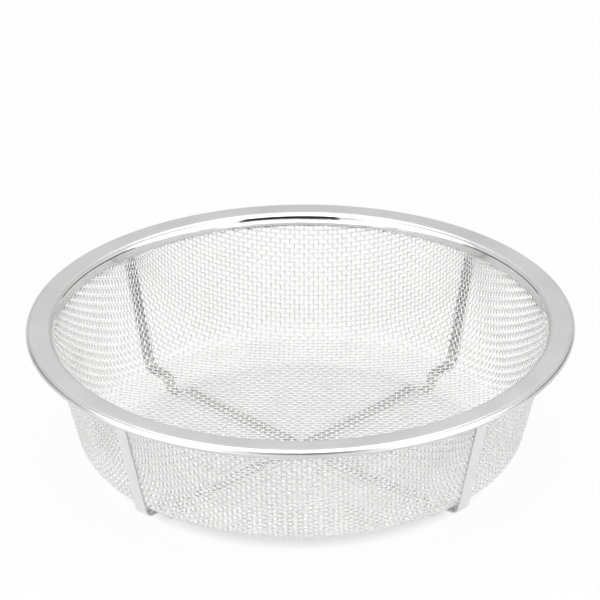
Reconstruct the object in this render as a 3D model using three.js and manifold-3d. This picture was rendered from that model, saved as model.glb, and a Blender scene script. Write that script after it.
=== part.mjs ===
// Wire-cloth colander: a folded rim strip grips the edge of a bowl drawn from woven wire cloth,
// and two flat straps cross under its base, each bent into a foot at both ends.
// Millimetres, +Z up. The origin is on the table, midway between the four feet.

import * as THREE from 'three';
import { mergeVertices } from 'three/addons/utils/BufferGeometryUtils.js';
import Module from 'manifold-3d';

const wasm = await Module();
wasm.setup();

// Driving dimensions of the whole
const rimDiameter = 230;
const overallHeight = 62;
const fitGap = 0.3; // left between pieces that touch on the real object

// Rim strip, folded from one width of sheet
const rimSheet = 0.6;
const flangeWidth = 10.1; // from the rim's outer edge in to the cloth
const foldRadius = 2; // outside of the rolled outer edge
const collarBend = 2; // outside of the bend from the flange down into the collar
const collarDepth = 5.1; // from the rim's top to the collar's lower edge
const leafBend = 1.2; // middle of the bend from the fold's lower leaf down outside the bowl
const leafDepth = 6.2; // from the rim's top to the outer leaf's lower edge

// Wire cloth, drawn into a bowl
const wireDiameter = 0.55;
const wallDraft = THREE.MathUtils.degToRad(13.7); // of the wall, from upright
const cornerRadius = 9.25; // between the wall and the base
const dishRadius = 250; // of the base's shallow dish
const baseFlatRadius = 41; // of the flat middle of the base
const strandPitch = 16; // each modelled strand stands for several of the fine wires
const strandWidth = 1.5;

// Straps under the base
const strapWidth = 6;
const strapThickness = 0.9;
const strapBend = 2.5; // middle of each tighter bend
const strapAngle = THREE.MathUtils.degToRad(45); // of each strap to the X axis, seen from above
const crossingClearance = 0.85; // from the table up to the lower strap at the crossing
const heelHeight = 9; // where a strap leaves the line of the wall
const heelBend = 5; // middle of the bend there
const footRadius = 76.6; // from the axis to the middle of a foot's flat sole
const soleLength = 7.4;
const riseLength = 6; // along which a strap climbs from its sole to the underside of the base
const joggleLength = 3; // along which a strap steps in below the rim's outer leaf
const dipFlat = 5; // half the length of the lower strap's dip at the crossing
const dipLength = 12; // half the length of the dip with its two slopes

// Fineness of the facets
const rimSegments = 64;
const bendStep = THREE.MathUtils.degToRad(40); // largest turn of one facet in a bend
const drapeSteps = 4; // steps of the draped cloth from one strand to the next
const strandTolerance = 0.35; // how far a straight stretch of strand may leave the cloth
const baseRunSteps = 3; // stretches of a strap along the dished base, each side
const drapeTolerance = 1e-9; // share of a step by which a place of the draped cloth may miss

// Derived sizes
const rimRadius = rimDiameter / 2;
const rimEdgeHeight = overallHeight - foldRadius;
const flangeUnderside = overallHeight - 2 * foldRadius;
const clothThickness = 2 * wireDiameter;
const baseHeight = crossingClearance + 2 * (strapThickness + fitGap) + clothThickness / 2;
const hemTop = flangeUnderside + rimSheet;
const hemBottom = overallHeight - collarDepth + fitGap;
const soleInnerRadius = footRadius - soleLength / 2;
const soleOuterRadius = footRadius + soleLength / 2;
const baseRunRadius = soleInnerRadius - riseLength;
const drapeRounds = Math.ceil(-Math.log2(drapeTolerance)); // enough even if a round only halves the miss

// Finishes
const satinSteel = new THREE.MeshStandardMaterial({ color: 0xcfd0d1, roughness: 0.3, metalness: 1 });
const wireSteel = new THREE.MeshStandardMaterial({ color: 0xd9dadb, roughness: 0.35, metalness: 1 });
const strapSteel = new THREE.MeshStandardMaterial({ color: 0xc4c5c6, roughness: 0.4, metalness: 1 });

// Radius of the cloth's mid-surface on the straight wall, at a height above the table.
function wallRadius(height) {
  return rimRadius - flangeWidth - (rimEdgeHeight - height) * Math.tan(wallDraft);
}

// Point of the wall's line at a height, moved outward across the cloth by an offset.
function besideWall(height, offset) {
  return new THREE.Vector2(wallRadius(height) + offset / Math.cos(wallDraft), height);
}

// Profile of the cloth's mid-surface: a flat middle, a dished ring, the corner and the wall, all tangent.
const cornerStart = Math.asin(
  (Math.cos(wallDraft) * (wallRadius(0) - baseFlatRadius)
    + Math.sin(wallDraft) * (baseHeight + dishRadius) - cornerRadius) / (dishRadius - cornerRadius),
) - wallDraft;
const cornerEnd = Math.PI / 2 - wallDraft;
const dishCentre = new THREE.Vector2(baseFlatRadius, baseHeight + dishRadius);
const cornerCentre = alongArc(dishCentre, dishRadius - cornerRadius, cornerStart);
const wallStart = alongArc(cornerCentre, cornerRadius, cornerEnd);
const dishLength = dishRadius * cornerStart;
const cornerLength = cornerRadius * (cornerEnd - cornerStart);

// Point at the lower right of an arc, where the arc's slope is the given angle.
function alongArc(centre, radius, slope) {
  return new THREE.Vector2(
    centre.x + radius * Math.sin(slope),
    centre.y - radius * Math.cos(slope),
  );
}

// Radius, height and slope of the cloth at a distance along it from its centre.
function clothProfile(distance) {
  const pastFlat = distance - baseFlatRadius;
  const pastDish = pastFlat - dishLength;
  const pastCorner = pastDish - cornerLength;
  if (pastFlat < 0) return { point: new THREE.Vector2(distance, baseHeight), slope: 0 };
  if (pastDish < 0) {
    const slope = pastFlat / dishRadius;
    return { point: alongArc(dishCentre, dishRadius, slope), slope };
  }
  if (pastCorner < 0) {
    const slope = cornerStart + pastDish / cornerRadius;
    return { point: alongArc(cornerCentre, cornerRadius, slope), slope };
  }
  const climb = new THREE.Vector2(Math.cos(cornerEnd), Math.sin(cornerEnd));
  return { point: climb.multiplyScalar(pastCorner).add(wallStart), slope: cornerEnd };
}

// Height of the cloth over the dished base at a radius.
function baseProfileHeight(radius) {
  const out = Math.max(0, radius - baseFlatRadius);
  return dishCentre.y - Math.sqrt(dishRadius ** 2 - out ** 2);
}

// A place on the cloth, given by its distance along the profile and its bearing about the axis.
function clothPlace(distance, bearing) {
  const { point, slope } = clothProfile(distance);
  const outward = new THREE.Vector3(Math.cos(bearing), Math.sin(bearing), 0);
  const around = new THREE.Vector3(-Math.sin(bearing), Math.cos(bearing), 0);
  const up = new THREE.Vector3(0, 0, 1);
  return {
    distance,
    bearing,
    position: outward.clone().multiplyScalar(point.x).addScaledVector(up, point.y),
    climb: outward.clone().multiplyScalar(Math.cos(slope)).addScaledVector(up, Math.sin(slope)),
    sweep: around.multiplyScalar(point.x),
    normal: up.clone().multiplyScalar(Math.cos(slope)).addScaledVector(outward, -Math.sin(slope)),
  };
}

// The place one step from both of two neighbours, found by Newton's method from a first guess.
// Woven wires keep their length and only shear, so this is how the cloth drapes over the bowl.
function placeBetween(first, second, behind, step) {
  let distance = first.distance + second.distance - behind.distance;
  let bearing = first.bearing + second.bearing - behind.bearing;
  for (let round = 0; round < drapeRounds; round += 1) {
    const place = clothPlace(distance, bearing);
    const fromFirst = place.position.clone().sub(first.position);
    const fromSecond = place.position.clone().sub(second.position);
    const errorFirst = (fromFirst.lengthSq() - step ** 2) / 2;
    const errorSecond = (fromSecond.lengthSq() - step ** 2) / 2;
    if (Math.hypot(errorFirst, errorSecond) < drapeTolerance * step ** 2) return place;
    const [a, b] = [fromFirst.dot(place.climb), fromFirst.dot(place.sweep)];
    const [c, d] = [fromSecond.dot(place.climb), fromSecond.dot(place.sweep)];
    const spread = a * d - b * c;
    distance -= (d * errorFirst - b * errorSecond) / spread;
    bearing -= (a * errorSecond - c * errorFirst) / spread;
  }
  return undefined;
}

// One quarter of the draped cloth, as a square grid of places one step apart.
function drapeQuarter(step, reach) {
  const count = Math.ceil(reach / step) + 1;
  const grid = [];
  for (let i = 0; i <= count; i += 1) {
    grid.push([]);
    for (let j = 0; j <= count; j += 1) {
      const flat = step * Math.hypot(i, j);
      if (flat < baseFlatRadius || i === 0 || j === 0) {
        grid[i].push(flat > reach ? undefined : clothPlace(flat, Math.atan2(j, i)));
        continue;
      }
      const known = [grid[i - 1][j], grid[i][j - 1], grid[i - 1][j - 1]];
      const reached = known.some((place) => place === undefined || place.distance > reach);
      grid[i].push(reached ? undefined : placeBetween(...known, step));
    }
  }
  return grid;
}

// Outline of a strip of even thickness that follows a path of corners, each rounded by its radius.
function bentStrip(corners, thickness) {
  const left = [];
  const right = [];
  const place = (point, heading) => {
    const side = new THREE.Vector2(-Math.sin(heading), Math.cos(heading)).multiplyScalar(thickness / 2);
    left.push(point.clone().add(side));
    right.push(point.clone().sub(side));
  };
  const headingTo = (from, to) => Math.atan2(to.point.y - from.point.y, to.point.x - from.point.x);
  place(corners[0].point, headingTo(corners[0], corners[1]));
  for (let k = 1; k < corners.length - 1; k += 1) {
    const { point, radius } = corners[k];
    const arriving = headingTo(corners[k - 1], corners[k]);
    const leaving = headingTo(corners[k], corners[k + 1]);
    const turn = Math.atan2(Math.sin(leaving - arriving), Math.cos(leaving - arriving));
    const tangent = radius * Math.tan(Math.abs(turn) / 2);
    const steps = Math.ceil(Math.abs(turn) / bendStep);
    let heading = arriving;
    const here = point.clone().sub(
      new THREE.Vector2(Math.cos(arriving), Math.sin(arriving)).multiplyScalar(tangent),
    );
    place(here, heading);
    for (let n = 1; n <= steps; n += 1) {
      const middle = heading + turn / steps / 2;
      const chord = 2 * radius * Math.sin(Math.abs(turn) / steps / 2);
      here.add(new THREE.Vector2(Math.cos(middle), Math.sin(middle)).multiplyScalar(chord));
      heading += turn / steps;
      place(here, heading);
    }
  }
  const last = corners.length - 1;
  place(corners[last].point, headingTo(corners[last - 1], corners[last]));
  return [...right, ...left.reverse()];
}

// Only the positions of a geometry, with shared corners merged, standing up along Z.
function standing(geometry) {
  geometry.deleteAttribute('normal');
  geometry.deleteAttribute('uv');
  return mergeVertices(geometry.rotateX(Math.PI / 2));
}

// A ring turned from a closed outline of radius and height, listed anticlockwise.
function turned(outline) {
  return standing(new THREE.LatheGeometry([...outline, outline[0]], rimSegments));
}

function toSolid(geometry) {
  return new wasm.Manifold(new wasm.Mesh({
    numProp: 3,
    vertProperties: new Float32Array(geometry.attributes.position.array),
    triVerts: new Uint32Array(geometry.index.array),
  }));
}

function toGeometry(solid) {
  const { vertProperties, triVerts } = solid.getMesh();
  const geometry = new THREE.BufferGeometry();
  geometry.setAttribute('position', new THREE.BufferAttribute(vertProperties, 3));
  geometry.setIndex(new THREE.BufferAttribute(triVerts, 1));
  return geometry;
}

// Rim: collar, flange, rolled edge and outer leaf, one strip with the cloth's edge between its leaves.
function rimRing() {
  const offset = clothThickness / 2 + fitGap + rimSheet / 2;
  const flangeMiddle = overallHeight - rimSheet / 2;
  const returnMiddle = flangeUnderside + rimSheet / 2;
  const edge = rimRadius - rimSheet / 2;
  const roll = foldRadius - rimSheet / 2;
  return turned(bentStrip([
    { point: besideWall(overallHeight - collarDepth, -offset) },
    { point: besideWall(flangeMiddle, -offset), radius: collarBend - rimSheet / 2 },
    { point: new THREE.Vector2(edge, flangeMiddle), radius: roll },
    { point: new THREE.Vector2(edge, returnMiddle), radius: roll },
    { point: besideWall(returnMiddle, offset), radius: leafBend },
    { point: besideWall(overallHeight - leafDepth, offset) },
  ], rimSheet));
}

// The pressed edge of the cloth, hidden between the rim's two leaves.
function clothHem() {
  const half = clothThickness / 2;
  return turned([
    besideWall(hemBottom, -half),
    besideWall(hemBottom, half),
    besideWall(hemTop, half),
    besideWall(hemTop, -half),
  ]);
}

// The open net of the cloth before its edge is trimmed: strands of even width that cross at every pitch.
function openNet() {
  const step = strandPitch / drapeSteps;
  const wallLength = (hemTop - wallStart.y) / Math.cos(wallDraft);
  const reach = baseFlatRadius + dishLength + cornerLength + wallLength + strandPitch / 2;
  const quarter = drapeQuarter(step, reach);
  const triangles = [];

  // The whole cloth mirrors its first quarter across X and Y.
  const nodeAt = (i, j) => {
    const place = quarter[Math.abs(i)]?.[Math.abs(j)];
    if (place === undefined) return undefined;
    const mirror = new THREE.Vector3(i < 0 ? -1 : 1, j < 0 ? -1 : 1, 1);
    return {
      position: place.position.clone().multiply(mirror),
      normal: place.normal.clone().multiply(mirror),
    };
  };
  const direction = (i, j, di, dj) => {
    const ahead = nodeAt(i + di, j + dj) ?? nodeAt(i, j);
    const astern = nodeAt(i - di, j - dj) ?? nodeAt(i, j);
    return ahead.position.clone().sub(astern.position).normalize();
  };
  const faces = (position, normal) => ({
    inner: position.clone().addScaledVector(normal, clothThickness / 2),
    outer: position.clone().addScaledVector(normal, -clothThickness / 2),
  });
  const quad = (a, b, c, d) => triangles.push(a, b, c, a, c, d);
  const edgeWall = (from, to) => quad(from.outer, to.outer, to.inner, from.inner);

  // Corner of a crossing towards one of the four gaps round it.
  const crossingCorner = (i, j, alongI, alongJ) => {
    const { position, normal } = nodeAt(i, j);
    const first = direction(i, j, 1, 0);
    const second = direction(i, j, 0, 1);
    const reachOut = strandWidth / 2 / new THREE.Vector3().crossVectors(first, second).length();
    const corner = position.clone()
      .addScaledVector(first, alongI * reachOut)
      .addScaledVector(second, alongJ * reachOut);
    return faces(corner, normal);
  };

  // How far a stretch of strand leaves the straight line between its ends.
  const sag = (nodes, from, stride) => {
    const chord = new THREE.Line3(nodes[from].position, nodes[from + stride].position);
    const middle = nodes[from + stride / 2].position;
    return chord.closestPointToPoint(middle, true, new THREE.Vector3()).distanceTo(middle);
  };
  const stepsBetween = (stride) => {
    const steps = [];
    for (let k = stride; k < drapeSteps; k += stride) steps.push(k);
    return steps;
  };

  // Steps of a strand at which it has to bend, from none to all between two crossings.
  const bendsOf = (i, j, di, dj) => {
    const nodes = [];
    for (let k = 0; k <= drapeSteps; k += 1) nodes.push(nodeAt(i + k * di, j + k * dj));
    if (nodes.some((node) => node === undefined)) return undefined;
    for (const stride of [drapeSteps, drapeSteps / 2]) {
      const sags = [0, ...stepsBetween(stride)].map((from) => sag(nodes, from, stride));
      if (Math.max(...sags) < strandTolerance) return stepsBetween(stride);
    }
    return stepsBetween(1);
  };

  // A strand from one crossing to the next: its two faces and the walls of the gaps beside it.
  const strand = (i, j, di, dj, bends) => {
    const [endI, endJ] = [i + drapeSteps * di, j + drapeSteps * dj];
    const stations = [{
      right: crossingCorner(i, j, 1, di ? -1 : 1),
      left: crossingCorner(i, j, di ? 1 : -1, 1),
    }];
    for (const k of bends) {
      const [midI, midJ] = [i + k * di, j + k * dj];
      const { position, normal } = nodeAt(midI, midJ);
      const side = new THREE.Vector3().crossVectors(normal, direction(midI, midJ, di, dj));
      side.multiplyScalar(strandWidth / 2);
      stations.push({
        right: faces(position.clone().sub(side), normal),
        left: faces(position.clone().add(side), normal),
      });
    }
    stations.push({
      right: crossingCorner(endI, endJ, di ? -1 : 1, -1),
      left: crossingCorner(endI, endJ, -1, di ? 1 : -1),
    });
    for (let k = 1; k < stations.length; k += 1) {
      const [back, front] = [stations[k - 1], stations[k]];
      quad(back.right.inner, front.right.inner, front.left.inner, back.left.inner);
      quad(back.left.outer, front.left.outer, front.right.outer, back.right.outer);
      edgeWall(back.right, front.right);
      edgeWall(front.left, back.left);
    }
  };

  const crossings = Math.ceil(reach / strandPitch);
  for (let a = -crossings; a <= crossings; a += 1) {
    for (let b = -crossings; b <= crossings; b += 1) {
      const [i, j] = [a * drapeSteps, b * drapeSteps];
      if (nodeAt(i, j) === undefined) continue;
      const corners = [[1, -1], [1, 1], [-1, 1], [-1, -1]].map((signs) => crossingCorner(i, j, ...signs));
      quad(...corners.map((corner) => corner.inner));
      quad(...corners.map((corner) => corner.outer).reverse());
      const ways = [[1, 0], [0, 1], [-1, 0], [0, -1]];
      ways.forEach(([di, dj], side) => {
        const bends = bendsOf(i, j, di, dj);
        if (bends === undefined) edgeWall(corners[side], corners[(side + 1) % ways.length]);
        else if (di + dj > 0) strand(i, j, di, dj, bends);
      });
    }
  }
  return mergeVertices(new THREE.BufferGeometry().setFromPoints(triangles));
}

// Bowl: the net, cut off level inside the hem and joined to it.
function meshBowl() {
  const trimHeight = (hemTop + hemBottom) / 2;
  const below = new THREE.CylinderGeometry(rimRadius, rimRadius, trimHeight, rimSegments);
  const keep = toSolid(standing(below).translate(0, 0, trimHeight / 2));
  return toGeometry(toSolid(openNet()).intersect(keep).add(toSolid(clothHem())));
}

// Half of a strap's path from the crossing out and up to the rim, with the dip of its middle, if any.
function strapHalf(dip) {
  const underCloth = clothThickness / 2 + fitGap + strapThickness / 2;
  const besideLeaf = underCloth + rimSheet + fitGap;
  const soleMiddle = strapThickness / 2;
  const leafEnd = overallHeight - leafDepth - fitGap;
  const corner = (x, y) => ({ point: new THREE.Vector2(x, y), radius: strapBend });
  const path = [];
  if (dip > 0) {
    path.push(corner(dipFlat, baseHeight - underCloth - dip));
    path.push(corner(dipLength, baseHeight - underCloth));
  }
  for (let n = 0; n <= baseRunSteps; n += 1) {
    const radius = THREE.MathUtils.lerp(baseFlatRadius, baseRunRadius, n / baseRunSteps);
    path.push(corner(radius, baseProfileHeight(radius) - underCloth));
  }
  path.push(corner(soleInnerRadius, soleMiddle));
  path.push(corner(soleOuterRadius, soleMiddle));
  path.push({ point: besideWall(heelHeight, underCloth), radius: heelBend });
  path.push({ point: besideWall(leafEnd - joggleLength, underCloth), radius: strapBend });
  path.push({ point: besideWall(leafEnd, besideLeaf), radius: strapBend });
  path.push({ point: besideWall(flangeUnderside - leafBend, besideLeaf), radius: strapBend });
  return path;
}

// Strap: both halves of the path as one bent strip, turned to its bearing.
function strap(dip, bearing) {
  const half = strapHalf(dip);
  const mirrored = half.map(({ point, radius }) => ({ point: new THREE.Vector2(-point.x, point.y), radius }));
  const outline = bentStrip([...mirrored.reverse(), ...half], strapThickness);
  const bar = new THREE.ExtrudeGeometry(new THREE.Shape(outline), { depth: strapWidth, bevelEnabled: false });
  bar.translate(0, 0, -strapWidth / 2);
  return standing(bar).rotateZ(bearing);
}

function piece(name, geometry, material) {
  const mesh = new THREE.Mesh(geometry, material);
  mesh.name = name;
  return mesh;
}

const colander = new THREE.Group();
colander.add(
  piece('rim_ring', rimRing(), satinSteel),
  piece('mesh_bowl', meshBowl(), wireSteel),
  piece('strap_upper', strap(0, strapAngle), strapSteel),
  piece('strap_lower', strap(strapThickness + fitGap, -strapAngle), strapSteel),
);

export default colander;
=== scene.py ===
"""Looks of the wire-cloth colander: woven wires, folded rim, strap feet, finishes, light and camera."""

import math

import bpy
import numpy as np
from mathutils import Matrix, Vector


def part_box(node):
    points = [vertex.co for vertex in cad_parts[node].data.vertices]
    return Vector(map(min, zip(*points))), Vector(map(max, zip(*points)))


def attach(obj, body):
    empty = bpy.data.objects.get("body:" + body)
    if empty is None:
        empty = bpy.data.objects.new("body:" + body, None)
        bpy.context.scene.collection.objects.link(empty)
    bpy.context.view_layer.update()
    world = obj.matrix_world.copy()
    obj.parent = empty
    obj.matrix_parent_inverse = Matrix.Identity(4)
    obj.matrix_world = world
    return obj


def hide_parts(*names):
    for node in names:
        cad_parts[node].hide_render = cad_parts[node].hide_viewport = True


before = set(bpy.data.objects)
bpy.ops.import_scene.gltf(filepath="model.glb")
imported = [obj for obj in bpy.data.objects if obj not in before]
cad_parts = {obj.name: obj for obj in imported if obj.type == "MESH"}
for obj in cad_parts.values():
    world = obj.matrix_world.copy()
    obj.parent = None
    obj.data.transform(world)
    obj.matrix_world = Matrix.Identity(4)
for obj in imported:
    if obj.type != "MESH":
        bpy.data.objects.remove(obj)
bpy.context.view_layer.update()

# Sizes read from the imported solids, in metres
rim_low, rim_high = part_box("rim_ring")
RIM_RADIUS = rim_high.x
RIM_TOP = rim_high.z
LEAF_BOTTOM = rim_low.z
BOWL_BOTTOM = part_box("mesh_bowl")[0].z

# Rim strip
RIM_SHEET = 0.0006
FLANGE_WIDTH = 0.0101
FOLD_RADIUS = 0.002
COLLAR_BEND = 0.0025
COLLAR_DEPTH = 0.0051
LEAF_BEND = 0.0012
TOUCH = 0.00003  # left where pieces touch

# Wire cloth
WIRE_DIAMETER = 0.00055
WIRE_PITCH = 0.00209
WEAVE_TURN = math.radians(-2.3)
WALL_DRAFT = math.radians(13.7)
CORNER_RADIUS = 0.00925
DISH_RADIUS = 0.25
BASE_FLAT_RADIUS = 0.041
STEPS_PER_PITCH = 4
WIRE_SIDES = 6
WIRE_GROUPS = 4
FEWEST_CROSSINGS = 3  # of a wire

# Straps
STRAP_WIDTH = 0.006
STRAP_THICKNESS = 0.0009
STRAP_EDGE = 0.00018  # radius of its worn edges
STRAP_BEND = 0.0025
STRAP_ANGLE = math.radians(45)
HEEL_HEIGHT = 0.0064  # where a strap leaves the line of the wall
HEEL_BEND = 0.0045
FOOT_RADIUS = 0.0766  # from the axis to the middle of a sole
SOLE_LENGTH = 0.0056
RISE_LENGTH = 0.0048  # along which a strap climbs from its sole inward to the base
DROP_LENGTH = 0.0026  # the same outward
JOGGLE_LENGTH = 0.003  # along which a strap steps out over the rim's leaf
DIP_FLAT = 0.005  # from the axis to the end of the level middle of the dip under the other strap
DIP_LENGTH = 0.012  # from the axis to the end of the dip
WELD_RADIUS = 0.0014
WELD_DEPTH = 0.00012

# Fineness of the meshes
RIM_SEGMENTS = 360
RIM_STEP = 0.0012
BEND_STEP = math.radians(7)
STRAP_STEP = 0.0004
STRAP_COLUMNS = 16
EDGE_STEPS = 4
BASE_RUN_STEPS = 12
END_STEPS = 6
DRAPE_ROUNDS = 25
LANE_MARGIN = 0.05  # kept free on both sides of each tube's lane of the surface map

# Derived sizes
CLOTH_THICKNESS = 2 * WIRE_DIAMETER
RIM_EDGE_HEIGHT = RIM_TOP - FOLD_RADIUS
FLANGE_UNDERSIDE = RIM_TOP - 2 * FOLD_RADIUS
BASE_HEIGHT = BOWL_BOTTOM + CLOTH_THICKNESS / 2
SOLE_INNER_RADIUS = FOOT_RADIUS - SOLE_LENGTH / 2
SOLE_OUTER_RADIUS = FOOT_RADIUS + SOLE_LENGTH / 2
BASE_RUN_RADIUS = SOLE_INNER_RADIUS - RISE_LENGTH
DROP_RADIUS = SOLE_OUTER_RADIUS + DROP_LENGTH
LEAF_WELD_HEIGHT = (RIM_TOP + LEAF_BOTTOM) / 2 - FOLD_RADIUS
WALL_WELD_HEIGHT = (RIM_TOP + HEEL_HEIGHT) / 2


# Bowl profile
def wall_radius(height):
    """Radius of the cloth's mid-surface on the straight wall."""
    return RIM_RADIUS - FLANGE_WIDTH - (RIM_EDGE_HEIGHT - height) * math.tan(WALL_DRAFT)


def beside_wall(height, offset):
    """Point of the wall's line at a height, moved outward across the cloth."""
    return np.array([wall_radius(height) + offset / math.cos(WALL_DRAFT), height])


def along_arc(centre, radius, slope):
    """Point at the lower right of an arc, where its slope is the given angle."""
    return centre + radius * np.stack([np.sin(slope), -np.cos(slope)], -1)


CORNER_START = math.asin(
    (
        math.cos(WALL_DRAFT) * (wall_radius(0) - BASE_FLAT_RADIUS)
        + math.sin(WALL_DRAFT) * (BASE_HEIGHT + DISH_RADIUS)
        - CORNER_RADIUS
    )
    / (DISH_RADIUS - CORNER_RADIUS)
) - WALL_DRAFT
CORNER_END = math.pi / 2 - WALL_DRAFT
DISH_CENTRE = np.array([BASE_FLAT_RADIUS, BASE_HEIGHT + DISH_RADIUS])
CORNER_CENTRE = along_arc(DISH_CENTRE, DISH_RADIUS - CORNER_RADIUS, CORNER_START)
WALL_START = along_arc(CORNER_CENTRE, CORNER_RADIUS, CORNER_END)
DISH_END = BASE_FLAT_RADIUS + DISH_RADIUS * CORNER_START
WALL_BEGIN = DISH_END + CORNER_RADIUS * (CORNER_END - CORNER_START)


def cloth_profile(distance):
    """Radius and height (last axis) and slope of the cloth at distances along it from its centre."""
    flat = np.stack([distance, np.full_like(distance, BASE_HEIGHT)], -1)
    dish_slope = (distance - BASE_FLAT_RADIUS) / DISH_RADIUS
    corner_slope = CORNER_START + (distance - DISH_END) / CORNER_RADIUS
    climb = np.array([math.cos(CORNER_END), math.sin(CORNER_END)])
    wall = WALL_START + (distance - WALL_BEGIN)[..., None] * climb
    stretches = [distance < BASE_FLAT_RADIUS, distance < DISH_END, distance < WALL_BEGIN]
    slope = np.select(stretches, [np.zeros_like(distance), dish_slope, corner_slope], CORNER_END)
    point = np.select(
        [stretch[..., None] for stretch in stretches],
        [
            flat,
            along_arc(DISH_CENTRE, DISH_RADIUS, dish_slope),
            along_arc(CORNER_CENTRE, CORNER_RADIUS, corner_slope),
        ],
        wall,
    )
    return point, slope


def cloth_places(distance, bearing):
    """Position, climb, sweep and inward normal of places on the cloth."""
    point, slope = cloth_profile(distance)
    nothing = np.zeros_like(bearing)
    outward = np.stack([np.cos(bearing), np.sin(bearing), nothing], -1)
    around = np.stack([-np.sin(bearing), np.cos(bearing), nothing], -1)
    up = np.array([0.0, 0.0, 1.0])
    rise, run = np.sin(slope)[..., None], np.cos(slope)[..., None]
    position = outward * point[..., :1] + up * point[..., 1:]
    climb = outward * run + up * rise
    sweep = around * point[..., :1]
    normal = up * run - outward * rise
    return position, climb, sweep, normal


# Drape of the cloth: woven wires keep their pitch and only shear, so each crossing lies one pitch from
# the two before it
def place_between(first, second, behind, step):
    """Distances and bearings of the crossings one step from both neighbours, by Newton's method."""
    distance, bearing = first + second - behind
    start_first = cloth_places(*first)[0]
    start_second = cloth_places(*second)[0]
    for _ in range(DRAPE_ROUNDS):
        position, climb, sweep, _normal = cloth_places(distance, bearing)
        from_first = position - start_first
        from_second = position - start_second
        miss_first = ((from_first ** 2).sum(-1) - step ** 2) / 2
        miss_second = ((from_second ** 2).sum(-1) - step ** 2) / 2
        a, b = (from_first * climb).sum(-1), (from_first * sweep).sum(-1)
        c, d = (from_second * climb).sum(-1), (from_second * sweep).sum(-1)
        spread = a * d - b * c
        distance = distance - (d * miss_first - b * miss_second) / spread
        bearing = bearing - (a * miss_second - c * miss_first) / spread
    return np.stack([distance, bearing])


def drape_quarter(step, reach):
    """Distance and bearing of each crossing in a quarter of the cloth, NaN past its reach."""
    count = int(reach / step) + 2
    rows, columns = np.meshgrid(np.arange(count), np.arange(count), indexing="ij")
    flat = step * np.hypot(rows, columns)
    straight = (flat < BASE_FLAT_RADIUS) | (rows == 0) | (columns == 0)
    places = np.full((2, count, count), np.nan)
    known = straight & (flat <= reach)
    places[0][known] = flat[known]
    places[1][known] = np.arctan2(columns, rows)[known]
    for diagonal in range(2, 2 * count - 1):
        i = np.arange(max(1, diagonal - count + 1), min(diagonal, count))
        j = diagonal - i
        first, second = places[:, i - 1, j], places[:, i, j - 1]
        todo = ~straight[i, j] & (first[0] <= reach) & (second[0] <= reach)
        i, j = i[todo], j[todo]
        if len(i):
            behind = places[:, i - 1, j - 1]
            places[:, i, j] = place_between(first[:, todo], second[:, todo], behind, step)
    return places


def drape_cloth(step, reach):
    """Positions and inward normals of all crossings, in a grid whose middle is the cloth's centre."""
    places = drape_quarter(step, reach)
    places[:, places[0] > reach] = np.nan
    position, _climb, _sweep, normal = cloth_places(*places)
    count = places.shape[1] - 1
    index = np.arange(-count, count + 1)
    rows, columns = np.meshgrid(index, index, indexing="ij")
    mirror = np.stack([np.where(rows < 0, -1, 1), np.where(columns < 0, -1, 1), np.ones_like(rows)], -1)
    return [grid[abs(rows), abs(columns)] * mirror for grid in (position, normal)]


# Mesh helpers
def tube_faces(grid, closed):
    """Corners of a tube's quads, from a grid of point numbers: sections by points round the section."""
    ahead = np.roll(grid, -1, axis=0)
    if not closed:
        grid, ahead = grid[:-1], ahead[:-1]
    return np.stack([grid, np.roll(grid, -1, axis=1), np.roll(ahead, -1, axis=1), ahead], -1)


def tube_marks(rows, columns, lane, lanes):
    """Places of the quads' corners on the surface map: along the tube, and round it in its own lane."""
    along, around = np.meshgrid(np.arange(rows) / rows, np.arange(columns) / columns, indexing="ij")
    corners = np.array([[0, 0], [0, 1], [1, 1], [1, 0]]) / [rows, columns]
    marks = np.stack([along, around], -1)[:, :, None] + corners
    marks[..., 1] = (lane + LANE_MARGIN + (1 - 2 * LANE_MARGIN) * marks[..., 1]) / lanes
    return marks.reshape(-1, 2)


def swept_mesh(name, runs, closed=False):
    """One mesh of tubes: each run is sections by points round the section. Open runs get caps."""
    corners, sizes, marks = [], [], []
    first_point = 0
    for lane, run in enumerate(runs):
        sections, around = run.shape[:2]
        grid = first_point + np.arange(sections * around).reshape(sections, around)
        first_point += sections * around
        quads = tube_faces(grid, closed)
        rows, columns, sides = quads.shape
        corners.append(quads.ravel())
        sizes.append(np.full(rows * columns, sides))
        marks.append(tube_marks(rows, columns, lane, len(runs)))
        if not closed:
            corners.append(np.concatenate([grid[0, ::-1], grid[-1]]))
            sizes.append([around, around])
            middle = (lane + 0.5) / len(runs)
            marks.append(np.repeat([[0, middle], [1, middle]], around, axis=0))
    points = np.concatenate([run.reshape(-1, 3) for run in runs])
    loops = np.concatenate(corners)
    sizes = np.concatenate(sizes)
    mesh = bpy.data.meshes.new(name)
    mesh.vertices.add(len(points))
    mesh.vertices.foreach_set("co", points.astype(np.float32).ravel())
    mesh.loops.add(len(loops))
    mesh.loops.foreach_set("vertex_index", loops.astype(np.int32))
    mesh.polygons.add(len(sizes))
    mesh.polygons.foreach_set("loop_start", (np.cumsum(sizes) - sizes).astype(np.int32))
    mesh.polygons.foreach_set("use_smooth", np.ones(len(sizes), bool))
    mesh.uv_layers.new(name="OFBake")
    mesh.uv_layers["OFBake"].data.foreach_set("uv", np.concatenate(marks).astype(np.float32).ravel())
    mesh.update(calc_edges=True)
    mesh.validate()
    return mesh


def add_piece(name, mesh, material, slot, *nodes):
    """A piece of the colander: it rides on the one body and stands for the named solids."""
    piece = bpy.data.objects.new(name, mesh)
    bpy.context.scene.collection.objects.link(piece)
    piece.data.materials.append(material)
    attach(piece, "root")
    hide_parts(*nodes)


def turn_about_axis(points, angle):
    """Points turned about the bowl's axis."""
    turn = np.array(Matrix.Rotation(angle, 3, "Z"))
    return points @ turn.T


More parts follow.
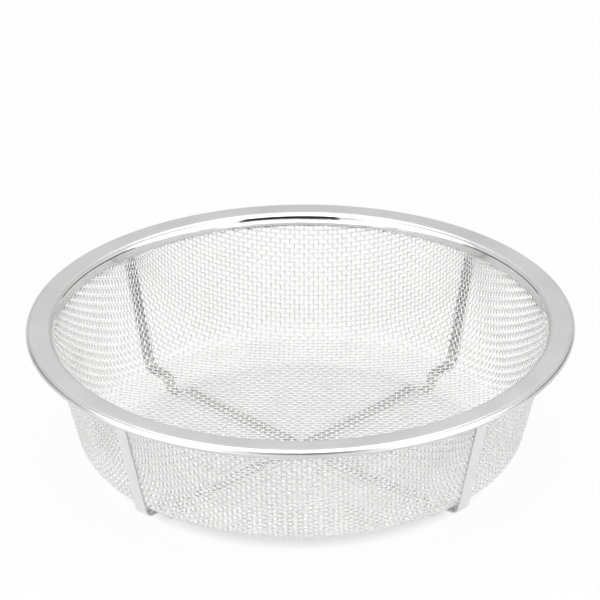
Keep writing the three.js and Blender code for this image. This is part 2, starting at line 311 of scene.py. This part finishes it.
def towards(angle):
    """Unit steps in a plane at an angle, or at several."""
    return np.stack([np.cos(angle), np.sin(angle)], -1)


def bent_path(path, step):
    """Points and headings along a plane path of corners, each with the radius that rounds it."""
    corners = [corner for corner, _radius in path]
    direction = [math.atan2(b[1] - a[1], b[0] - a[0]) for a, b in zip(corners, corners[1:])]
    points, headings = [corners[0]], [direction[0]]
    for (corner, radius), heading, leaving in zip(path[1:], direction, direction[1:]):
        turn = math.remainder(leaving - heading, 2 * math.pi)
        here = corner - radius * math.tan(abs(turn) / 2) * towards(heading)
        points.append(here)
        headings.append(heading)
        count = max(1, math.ceil(abs(turn) / BEND_STEP))
        chord = 2 * radius * math.sin(abs(turn) / count / 2)
        for _ in range(count):
            here = here + chord * towards(heading + turn / count / 2)
            heading += turn / count
            points.append(here)
            headings.append(heading)
    points.append(corners[-1])
    headings.append(direction[-1])
    return refine(np.array(points), np.array(headings), step)


def refine(points, headings, step):
    """The same path with no stretch longer than a step."""
    finer_points, finer_headings = [points[:1]], [headings[:1]]
    for a, b, heading_a, heading_b in zip(points, points[1:], headings, headings[1:]):
        share = np.linspace(0, 1, max(1, math.ceil(np.linalg.norm(b - a) / step)) + 1)[1:]
        finer_points.append(a + share[:, None] * (b - a))
        finer_headings.append(heading_a + share * (heading_b - heading_a))
    return np.concatenate(finer_points), np.concatenate(finer_headings)


# Woven wires
def wire_tube(nodes, normals, side):
    """One wire as a tube through its crossings, above the cloth's middle where side is 1, below at -1."""
    padded = np.concatenate([[2 * nodes[0] - nodes[1]], nodes, [2 * nodes[-1] - nodes[-2]]])
    share = np.arange(STEPS_PER_PITCH) / STEPS_PER_PITCH
    # Weights of four crossings in a row, for a smooth curve from the second to the third
    weights = np.stack([
        -share / 2 + share ** 2 - share ** 3 / 2,
        1 - 5 * share ** 2 / 2 + 3 * share ** 3 / 2,
        share / 2 + 2 * share ** 2 - 3 * share ** 3 / 2,
        -share ** 2 / 2 + share ** 3 / 2,
    ])
    spans = len(nodes) - 1
    windows = np.stack([padded[k:k + spans] for k in range(4)])
    middle = np.einsum("ks,knc->nsc", weights, windows).reshape(-1, 3)
    middle = np.concatenate([middle, nodes[-1:]])
    blend = share[None, :, None]
    facing = normals[:-1, None] * (1 - blend) + normals[1:, None] * blend
    facing = np.concatenate([facing.reshape(-1, 3), normals[-1:]])
    facing /= np.linalg.norm(facing, axis=1, keepdims=True)
    lift = np.concatenate([(side[:-1, None] * np.cos(math.pi * share)).ravel(), side[-1:]])
    path = middle + facing * (lift * WIRE_DIAMETER / 2)[:, None]
    ahead = np.gradient(path, axis=0)
    ahead /= np.linalg.norm(ahead, axis=1, keepdims=True)
    across = np.cross(facing, ahead)
    across /= np.linalg.norm(across, axis=1, keepdims=True)
    above = np.cross(ahead, across)
    angle = 2 * math.pi * np.arange(WIRE_SIDES) / WIRE_SIDES
    ring = across[:, None] * np.cos(angle)[None, :, None] + above[:, None] * np.sin(angle)[None, :, None]
    return path[:, None] + ring * WIRE_DIAMETER / 2


def woven_wires():
    """Tubes of both families of wires, as two lists in order across the cloth."""
    wall_length = (FLANGE_UNDERSIDE - WALL_START[1]) / math.cos(WALL_DRAFT)
    position, normal = drape_cloth(WIRE_PITCH, WALL_BEGIN + wall_length)
    count = position.shape[0]
    index = np.arange(count)
    side = np.where((index[:, None] + index[None, :]) % 2, -1.0, 1.0)
    families = []
    for flip in (1, -1):
        wires = []
        for k in index:
            held = ~np.isnan(position[k, :, 0])
            if held.sum() >= FEWEST_CROSSINGS:
                tube = wire_tube(position[k, held], normal[k, held], flip * side[k, held])
                wires.append(turn_about_axis(tube, WEAVE_TURN))
        families.append(wires)
        position, normal, side = position.transpose(1, 0, 2), normal.transpose(1, 0, 2), side.T
    return families


def build_cloth(material):
    """The woven bowl, each family of wires in a few pieces of about the same length."""
    for family, wires in zip(("warp", "weft"), woven_wires()):
        length = np.cumsum([len(wire) for wire in wires])
        group = np.minimum((length / length[-1] * WIRE_GROUPS).astype(int), WIRE_GROUPS - 1)
        for n in range(WIRE_GROUPS):
            name = f"cloth_{family}_{n + 1}"
            mesh = swept_mesh(name, [wire for wire, g in zip(wires, group) if g == n])
            add_piece(name, mesh, material, "wire_steel", "mesh_bowl")


# Folded rim
def build_rim(material):
    """The rim strip: collar, flange, rolled edge and outer leaf, with rounded cut edges."""
    half = RIM_SHEET / 2
    offset = CLOTH_THICKNESS / 2 + TOUCH + half
    flange_middle = RIM_TOP - half
    return_middle = FLANGE_UNDERSIDE + half
    edge = RIM_RADIUS - half
    roll = FOLD_RADIUS - half
    points, headings = bent_path([
        (beside_wall(RIM_TOP - COLLAR_DEPTH + half, -offset), 0),
        (beside_wall(flange_middle, -offset), COLLAR_BEND - half),
        (np.array([edge, flange_middle]), roll),
        (np.array([edge, return_middle]), roll),
        (beside_wall(return_middle, offset), LEAF_BEND),
        (beside_wall(LEAF_BOTTOM + half, offset), 0),
    ], RIM_STEP)
    side = half * towards(headings + math.pi / 2)
    swing = math.pi / 2 - np.linspace(0, math.pi, END_STEPS + 1)[1:-1]
    last_end = points[-1] + half * towards(headings[-1] + swing)
    first_end = points[0] + half * towards(headings[0] + math.pi + swing)
    outline = np.concatenate([points + side, last_end, (points - side)[::-1], first_end])
    angle = 2 * math.pi * np.arange(RIM_SEGMENTS) / RIM_SEGMENTS
    ring = np.stack([
        np.cos(angle)[:, None] * outline[None, :, 0],
        np.sin(angle)[:, None] * outline[None, :, 0],
        np.broadcast_to(outline[:, 1], (RIM_SEGMENTS, len(outline))),
    ], -1)
    add_piece("rim", swept_mesh("rim", [ring], closed=True), material, "rim_steel", "rim_ring")


# Straps
def base_profile_height(radius):
    """Height of the cloth over the dished base."""
    out = max(0.0, radius - BASE_FLAT_RADIUS)
    return DISH_CENTRE[1] - math.sqrt(DISH_RADIUS ** 2 - out ** 2)


def strap_half(dip):
    """Corners and bends of half a strap's path, from the crossing out and up to the rim."""
    under_cloth = CLOTH_THICKNESS / 2 + TOUCH + STRAP_THICKNESS / 2
    beside_leaf = under_cloth + RIM_SHEET + TOUCH
    leaf_end = LEAF_BOTTOM - TOUCH
    sole = STRAP_THICKNESS / 2
    corners = []
    if dip:
        corners.append(np.array([DIP_FLAT, BASE_HEIGHT - under_cloth - dip]))
        corners.append(np.array([DIP_LENGTH, BASE_HEIGHT - under_cloth]))
    for radius in np.linspace(BASE_FLAT_RADIUS, BASE_RUN_RADIUS, BASE_RUN_STEPS + 1):
        corners.append(np.array([radius, base_profile_height(radius) - under_cloth]))
    corners.append(np.array([SOLE_INNER_RADIUS, sole]))
    corners.append(np.array([SOLE_OUTER_RADIUS, sole]))
    corners.append(np.array([DROP_RADIUS, base_profile_height(DROP_RADIUS) - under_cloth]))
    heel = [(beside_wall(HEEL_HEIGHT, under_cloth), HEEL_BEND)]
    top = [
        beside_wall(leaf_end - JOGGLE_LENGTH, under_cloth),
        beside_wall(leaf_end, beside_leaf),
        beside_wall(FLANGE_UNDERSIDE - LEAF_BEND, beside_leaf),
    ]
    return [(corner, STRAP_BEND) for corner in corners] + heel + [(corner, STRAP_BEND) for corner in top]


def strap_section():
    """Places across (first) and through (second) a strap with rounded edges, in order round its section."""
    across = np.linspace(-1, 1, STRAP_COLUMNS + 1) * (STRAP_WIDTH / 2 - STRAP_EDGE)
    flat = STRAP_THICKNESS / 2
    quarter = math.pi / 2 - np.linspace(0, math.pi / 2, EDGE_STEPS + 1)[1:-1]
    inner = np.array([STRAP_WIDTH / 2 - STRAP_EDGE, flat - STRAP_EDGE])
    corner = inner + STRAP_EDGE * towards(quarter)
    top = np.stack([across, np.full_like(across, flat)], -1)
    right = np.concatenate([corner, [[STRAP_WIDTH / 2, 0.0]], (corner * [1, -1])[::-1]])
    return np.concatenate([top, right, -top, -right])


def build_strap(name, node, dip, bearing, material):
    """One strap, swept along its bent path, with the dents of its spot welds."""
    half = strap_half(dip)
    mirrored = [(corner * [-1, 1], bend) for corner, bend in half]
    points, headings = bent_path(mirrored[::-1] + half, STRAP_STEP)
    section = strap_section()
    through = towards(headings + math.pi / 2)[:, None]
    place = points[:, None] + section[:, 1:] * through
    across = np.broadcast_to(-section[:, 0], place.shape[:2])
    for height in (LEAF_WELD_HEIGHT, WALL_WELD_HEIGHT):
        away = np.hypot(place[..., 1] - height, across)
        dent = WELD_DEPTH * np.clip(1 - (away / WELD_RADIUS) ** 2, 0, None) ** 2
        place = place + np.where(section[:, 1] < 0, dent, 0)[..., None] * through
    sweep = np.stack([place[..., 0], across, place[..., 1]], -1)
    add_piece(name, swept_mesh(name, [turn_about_axis(sweep, bearing)]), material, "strap_steel", node)


# Finishes: each pair is the darker and the lighter grey, or the least and the most roughness, of one steel
RIM_GREYS = (0.65, 0.73)
RIM_ROUGHNESS = (0.06, 0.12)
RIM_EDGE_ROUGHNESS = 0.24  # more of it on the rolled edge
RIM_FLAT_ROUGHNESS = 0.28  # more of it on the flat flange, which no bending burnished
WIRE_GREYS = (0.8, 0.84)
WIRE_ROUGHNESS = (0.37, 0.47)
STRAP_GREYS = (0.75, 0.81)
STRAP_PAINTED_SHADE_GREYS = (0.49, 0.55)  # painted shade: darker greys for the strap's faces under the cloth, standing in for the shade there
STRAP_ROUGHNESS = (0.18, 0.28)
STEEL_WARMTH = 0.003  # by which the blue of a grey falls short
NOISE_LIMITS = (0.25, 0.75)  # between which a noise texture's values mostly lie
SHADE_STOPS = (0.3, 0.7)  # of that noise, where a shade is darkest and lightest
BRUSH_LINES = 9000  # per metre across the brushing
BRUSH_STROKES = 30  # per metre along it
FLAT_FACE = (0.85, 0.98)  # how far up the rim's face looks, where it starts and ends to turn flat
PAINTED_SHADE_FACING = (-0.1, 0.8)  # how far a strap's face looks up, where its painted shade under the cloth starts and is full


def steel(name):
    """A bare steel finish, its node tree and its shader."""
    material = bpy.data.materials.new(name)
    material.use_nodes = True
    tree = material.node_tree
    shader = tree.nodes["Principled BSDF"]
    shader.inputs["Metallic"].default_value = 1
    return material, tree, shader


def noise(tree, vector, scale, detail):
    """A noise texture on a vector."""
    texture = tree.nodes.new("ShaderNodeTexNoise")
    texture.inputs["Scale"].default_value = scale
    texture.inputs["Detail"].default_value = detail
    tree.links.new(vector, texture.inputs["Vector"])
    return texture.outputs["Fac"]


def spread(tree, value, start, end, low, high):
    """A value, spread from low to high while it goes from start to end."""
    node = tree.nodes.new("ShaderNodeMapRange")
    node.inputs["From Min"].default_value = start
    node.inputs["From Max"].default_value = end
    node.inputs["To Min"].default_value = low
    node.inputs["To Max"].default_value = high
    tree.links.new(value, node.inputs["Value"])
    return node.outputs["Result"]


def uneven(tree, texture, limits):
    """A noise texture, whose values keep near their middle, spread between two limits."""
    return spread(tree, texture, *NOISE_LIMITS, *limits)


def shade(tree, texture, greys):
    """A steel grey between two greys, by a noise texture."""
    ramp = tree.nodes.new("ShaderNodeValToRGB")
    for element, position, grey in zip(ramp.color_ramp.elements, SHADE_STOPS, greys):
        element.position = position
        element.color = (grey, grey, grey - STEEL_WARMTH, 1)
    tree.links.new(texture, ramp.inputs["Fac"])
    return ramp.outputs["Color"]


def calculate(tree, operation, first, second):
    """The outcome of an operation on two values."""
    node = tree.nodes.new("ShaderNodeMath")
    node.operation = operation
    tree.links.new(first, node.inputs[0])
    tree.links.new(second, node.inputs[1])
    return node.outputs["Value"]


def bump(tree, shader, value, strength, distance):
    """A relief on a shader from a value."""
    node = tree.nodes.new("ShaderNodeBump")
    node.inputs["Strength"].default_value = strength
    node.inputs["Distance"].default_value = distance
    tree.links.new(value, node.inputs["Height"])
    tree.links.new(node.outputs["Normal"], shader.inputs["Normal"])


def coordinate(tree, kind):
    """A texture coordinate: the place in metres, the way a face looks, or a way out into the world."""
    return tree.nodes.new("ShaderNodeTexCoord").outputs[kind]


def parts_of(tree, vector):
    """The X, Y and Z of a vector."""
    split = tree.nodes.new("ShaderNodeSeparateXYZ")
    tree.links.new(vector, split.inputs["Vector"])
    return split.outputs


def axis_distance(tree, place):
    """The distance of a place from the bowl's axis."""
    level = tree.nodes.new("ShaderNodeCombineXYZ")
    for axis in ("X", "Y"):
        tree.links.new(parts_of(tree, place)[axis], level.inputs[axis])
    length = tree.nodes.new("ShaderNodeVectorMath")
    length.operation = "LENGTH"
    tree.links.new(level.outputs["Vector"], length.inputs[0])
    return length.outputs["Value"]


def mapped(tree, vector, scale, turn=0.0):
    """A vector turned about Z and stretched."""
    node = tree.nodes.new("ShaderNodeMapping")
    node.inputs["Rotation"].default_value = (0, 0, turn)
    node.inputs["Scale"].default_value = scale
    tree.links.new(vector, node.inputs["Vector"])
    return node.outputs["Vector"]


def rim_finish():
    """Bright strip, finely brushed round the rim, uneven, and duller on its flat and its rolled edge."""
    material, tree, shader = steel("rim_steel")
    place = coordinate(tree, "Object")
    radius = axis_distance(tree, place)
    rings = tree.nodes.new("ShaderNodeCombineXYZ")
    tree.links.new(radius, rings.inputs["X"])
    tree.links.new(parts_of(tree, place)["Z"], rings.inputs["Y"])
    stretched = mapped(tree, rings.outputs["Vector"], (BRUSH_LINES, BRUSH_LINES, 1))
    lines = noise(tree, stretched, scale=1, detail=3)
    cloud = noise(tree, place, scale=35, detail=3)
    brushed = uneven(tree, lines, RIM_ROUGHNESS)
    edge = spread(tree, radius, RIM_RADIUS - FOLD_RADIUS, RIM_RADIUS, 0, RIM_EDGE_ROUGHNESS)
    facing_up = parts_of(tree, coordinate(tree, "Normal"))["Z"]
    flat = spread(tree, facing_up, *FLAT_FACE, 0, RIM_FLAT_ROUGHNESS)
    dull = calculate(tree, "MAXIMUM", edge, flat)
    tree.links.new(shade(tree, cloud, RIM_GREYS), shader.inputs["Base Color"])
    tree.links.new(calculate(tree, "ADD", brushed, dull), shader.inputs["Roughness"])
    bump(tree, shader, noise(tree, place, scale=60, detail=1), strength=0.3, distance=0.0004)
    return material


def wire_finish():
    """Bright drawn wire."""
    material, tree, shader = steel("wire_steel")
    place = coordinate(tree, "Object")
    cloud = noise(tree, place, scale=60, detail=2)
    fine = noise(tree, place, scale=4000, detail=2)
    tree.links.new(shade(tree, cloud, WIRE_GREYS), shader.inputs["Base Color"])
    tree.links.new(uneven(tree, fine, WIRE_ROUGHNESS), shader.inputs["Roughness"])
    return material


def strap_finish(name, bearing):
    """Satin strap, brushed along its length, with painted shade on the faces that lie under the cloth."""
    material, tree, shader = steel(name)
    place = coordinate(tree, "Object")
    stretched = mapped(tree, place, (BRUSH_STROKES, BRUSH_LINES, BRUSH_STROKES), -bearing)
    lines = noise(tree, stretched, scale=1, detail=3)
    cloud = noise(tree, place, scale=80, detail=3)
    # Painted shade: the upward faces, which lie under the cloth, get the darker greys
    facing_up = parts_of(tree, coordinate(tree, "Normal"))["Z"]
    painted_strap_shade = spread(tree, facing_up, *PAINTED_SHADE_FACING, 0, 1)
    blend = tree.nodes.new("ShaderNodeMixRGB")
    tree.links.new(painted_strap_shade, blend.inputs["Fac"])
    tree.links.new(shade(tree, cloud, STRAP_GREYS), blend.inputs["Color1"])
    tree.links.new(shade(tree, cloud, STRAP_PAINTED_SHADE_GREYS), blend.inputs["Color2"])
    tree.links.new(blend.outputs["Color"], shader.inputs["Base Color"])
    tree.links.new(uneven(tree, lines, STRAP_ROUGHNESS), shader.inputs["Roughness"])
    bump(tree, shader, lines, strength=0.06, distance=0.00002)
    return material


# Stage
FLOOR_SIZE = 30
FLOOR_GREY = 0.82
FLOOR_ROUGHNESS = 0.9
FLOOR_WHITENESS = 0.93  # share of plain white in what is seen of the floor
PAINTED_SHADE_WHITENESS = 0.35  # the same under the base, where less white paints shade over the real shadow there
PAINTED_SHADE_EDGE = 0.008  # width in which that painted shade fades, beyond the feet
FILL_LIGHT = 0.4  # of the world on the floor
SURROUND_LIGHT = 1.0  # of the world as the camera and the metal see it
BACK_LIGHT = 0.7  # the same behind the colander
LAMP_POWER = 5.0  # watts for each square metre
LOW_LAMP_POWER = 3.7  # the same for the low one, which the collar mirrors


def seen_directly(tree):
    """One for camera, glossy and transmission rays, and nothing for the rest."""
    path = tree.nodes.new("ShaderNodeLightPath")
    mirrored_or_passed = calculate(
        tree, "MAXIMUM", path.outputs["Is Glossy Ray"], path.outputs["Is Transmission Ray"])
    return calculate(tree, "MAXIMUM", path.outputs["Is Camera Ray"], mirrored_or_passed)


def build_floor():
    """A pale floor that looks white and keeps a trace of the colander's shadow, with painted shade in a
    disc under the base.
    """
    bpy.ops.mesh.primitive_plane_add(size=FLOOR_SIZE)
    floor = bpy.context.object
    floor.name = "floor"
    material = bpy.data.materials.new("floor_white")
    material.use_nodes = True
    tree = material.node_tree
    shader = tree.nodes["Principled BSDF"]
    shader.inputs["Base Color"].default_value = (FLOOR_GREY, FLOOR_GREY, FLOOR_GREY, 1)
    shader.inputs["Roughness"].default_value = FLOOR_ROUGHNESS
    shader.inputs["Specular IOR Level"].default_value = 0
    radius = axis_distance(tree, coordinate(tree, "Object"))
    # Painted shade: less white glow in a disc under the base, so the floor there looks darker
    painted_shade_end = FOOT_RADIUS + PAINTED_SHADE_EDGE
    whiteness = spread(tree, radius, FOOT_RADIUS, painted_shade_end, PAINTED_SHADE_WHITENESS, FLOOR_WHITENESS)
    glow = tree.nodes.new("ShaderNodeEmission")
    blend = tree.nodes.new("ShaderNodeMixShader")
    tree.links.new(calculate(tree, "MULTIPLY", seen_directly(tree), whiteness), blend.inputs["Fac"])
    tree.links.new(shader.outputs["BSDF"], blend.inputs[1])
    tree.links.new(glow.outputs["Emission"], blend.inputs[2])
    tree.links.new(blend.outputs["Shader"], tree.nodes["Material Output"].inputs["Surface"])
    floor.data.materials.append(material)


def build_world():
    """White surroundings for camera and metal, greyer at the back, and a softer fill for the floor."""
    world = bpy.data.worlds.new("studio")
    bpy.context.scene.world = world
    world.use_nodes = True
    tree = world.node_tree
    backward = parts_of(tree, coordinate(tree, "Generated"))["Y"]
    surround = spread(tree, backward, 0, 1, SURROUND_LIGHT, BACK_LIGHT)
    level = tree.nodes.new("ShaderNodeMapRange")
    level.inputs["To Min"].default_value = FILL_LIGHT
    tree.links.new(surround, level.inputs["To Max"])
    tree.links.new(seen_directly(tree), level.inputs["Value"])
    back = tree.nodes["Background"]
    back.inputs["Color"].default_value = (1, 1, 1, 1)
    tree.links.new(level.outputs["Result"], back.inputs["Strength"])


def add_softbox(name, place, width, height, power=LAMP_POWER):
    """A lamp aimed at the middle of the bowl, with a power for each square metre of it."""
    light = bpy.data.lights.new(name, "AREA")
    light.shape = "RECTANGLE"
    light.size = width
    light.size_y = height
    light.energy = power * width * height
    lamp = bpy.data.objects.new(name, light)
    bpy.context.scene.collection.objects.link(lamp)
    lamp.location = place
    aim = Vector((0, 0, RIM_TOP / 2)) - Vector(place)
    lamp.rotation_euler = aim.to_track_quat("-Z", "Y").to_euler()


def add_dark_card(name, place, width, height, grey):
    """A dark upright panel that faces the colander, seen only as a reflection in its metal."""
    bpy.ops.mesh.primitive_plane_add(size=1)
    card = bpy.context.object
    card.name = name
    card.scale = (width, height, 1)
    card.location = place
    card.rotation_euler = (math.pi / 2, 0, math.atan2(place[1], place[0]) - math.pi / 2)
    card.visible_camera = False
    material = bpy.data.materials.new(name)
    material.use_nodes = True
    shader = material.node_tree.nodes["Principled BSDF"]
    shader.inputs["Base Color"].default_value = (grey, grey, grey, 1)
    shader.inputs["Roughness"].default_value = 1
    card.data.materials.append(material)


def build_stage():
    """Floor, surroundings and lamps, with the dark camera and dark sides that the rim mirrors."""
    build_floor()
    build_world()
    add_softbox("overhead", place=(0.0, -0.1, 1.6), width=1.4, height=2.8)
    add_softbox("front_left", place=(-1.9, -1.1, 0.95), width=2.4, height=1.9)
    add_softbox("front_right", place=(1.9, -1.1, 0.95), width=2.4, height=1.9)
    add_softbox("front_low", place=(0.0, -2.4, 0.14), width=3.6, height=0.26, power=LOW_LAMP_POWER)
    add_dark_card("dark_camera", place=(0.18, -2.3, 1.44), width=2.0, height=2.5, grey=0.02)
    add_dark_card("dark_left", place=(-1.4, 0.5, 0.2), width=1.6, height=0.4, grey=0.05)
    add_dark_card("dark_right", place=(1.4, 0.5, 0.2), width=1.6, height=0.4, grey=0.05)


# Camera: a long lens, two metres off, as the nearly parallel wires of the base show
CAMERA_DISTANCE = 2.0
VIEW_DEPTH = 100
CAMERA_ELEVATION = math.radians(26.63)
CAMERA_ROLL = math.radians(-0.57)
PHOTO_SIZE = 600
RIM_WIDTH_PIXELS = 549.0
RIM_CENTRE_PIXEL = (300.3, 325.4)
SENSOR_WIDTH = 36.0


def build_camera():
    """The photograph's view: its scale from the rim's width, its aim from where the rim's centre lies."""
    pixels_per_metre = RIM_WIDTH_PIXELS / (2 * RIM_RADIUS)
    camera_data = bpy.data.cameras.new("camera")
    camera_data.sensor_width = SENSOR_WIDTH
    camera_data.lens = SENSOR_WIDTH * pixels_per_metre * CAMERA_DISTANCE / PHOTO_SIZE
    camera_data.clip_end = VIEW_DEPTH
    camera = bpy.data.objects.new("camera", camera_data)
    bpy.context.scene.collection.objects.link(camera)
    bpy.context.scene.camera = camera
    backward = Vector((0, -math.cos(CAMERA_ELEVATION), math.sin(CAMERA_ELEVATION)))
    upright = backward.to_track_quat("Z", "Y").to_matrix()
    axes = upright @ Matrix.Rotation(CAMERA_ROLL, 3, "Z")
    centre = Vector((0, 0, RIM_EDGE_HEIGHT))
    right_shift = (PHOTO_SIZE / 2 - RIM_CENTRE_PIXEL[0]) / pixels_per_metre
    up_shift = (RIM_CENTRE_PIXEL[1] - PHOTO_SIZE / 2) / pixels_per_metre
    place = centre + axes @ Vector((right_shift, up_shift, CAMERA_DISTANCE))
    camera.matrix_world = Matrix.Translation(place) @ axes.to_4x4()


build_cloth(wire_finish())
build_rim(rim_finish())
build_strap("strap_over", "strap_upper", 0.0, STRAP_ANGLE,
            strap_finish("strap_over_steel", STRAP_ANGLE))
build_strap("strap_under", "strap_lower", STRAP_THICKNESS + TOUCH, -STRAP_ANGLE,
            strap_finish("strap_under_steel", -STRAP_ANGLE))
build_stage()
build_camera()
bpy.context.scene.view_settings.view_transform = "Standard"
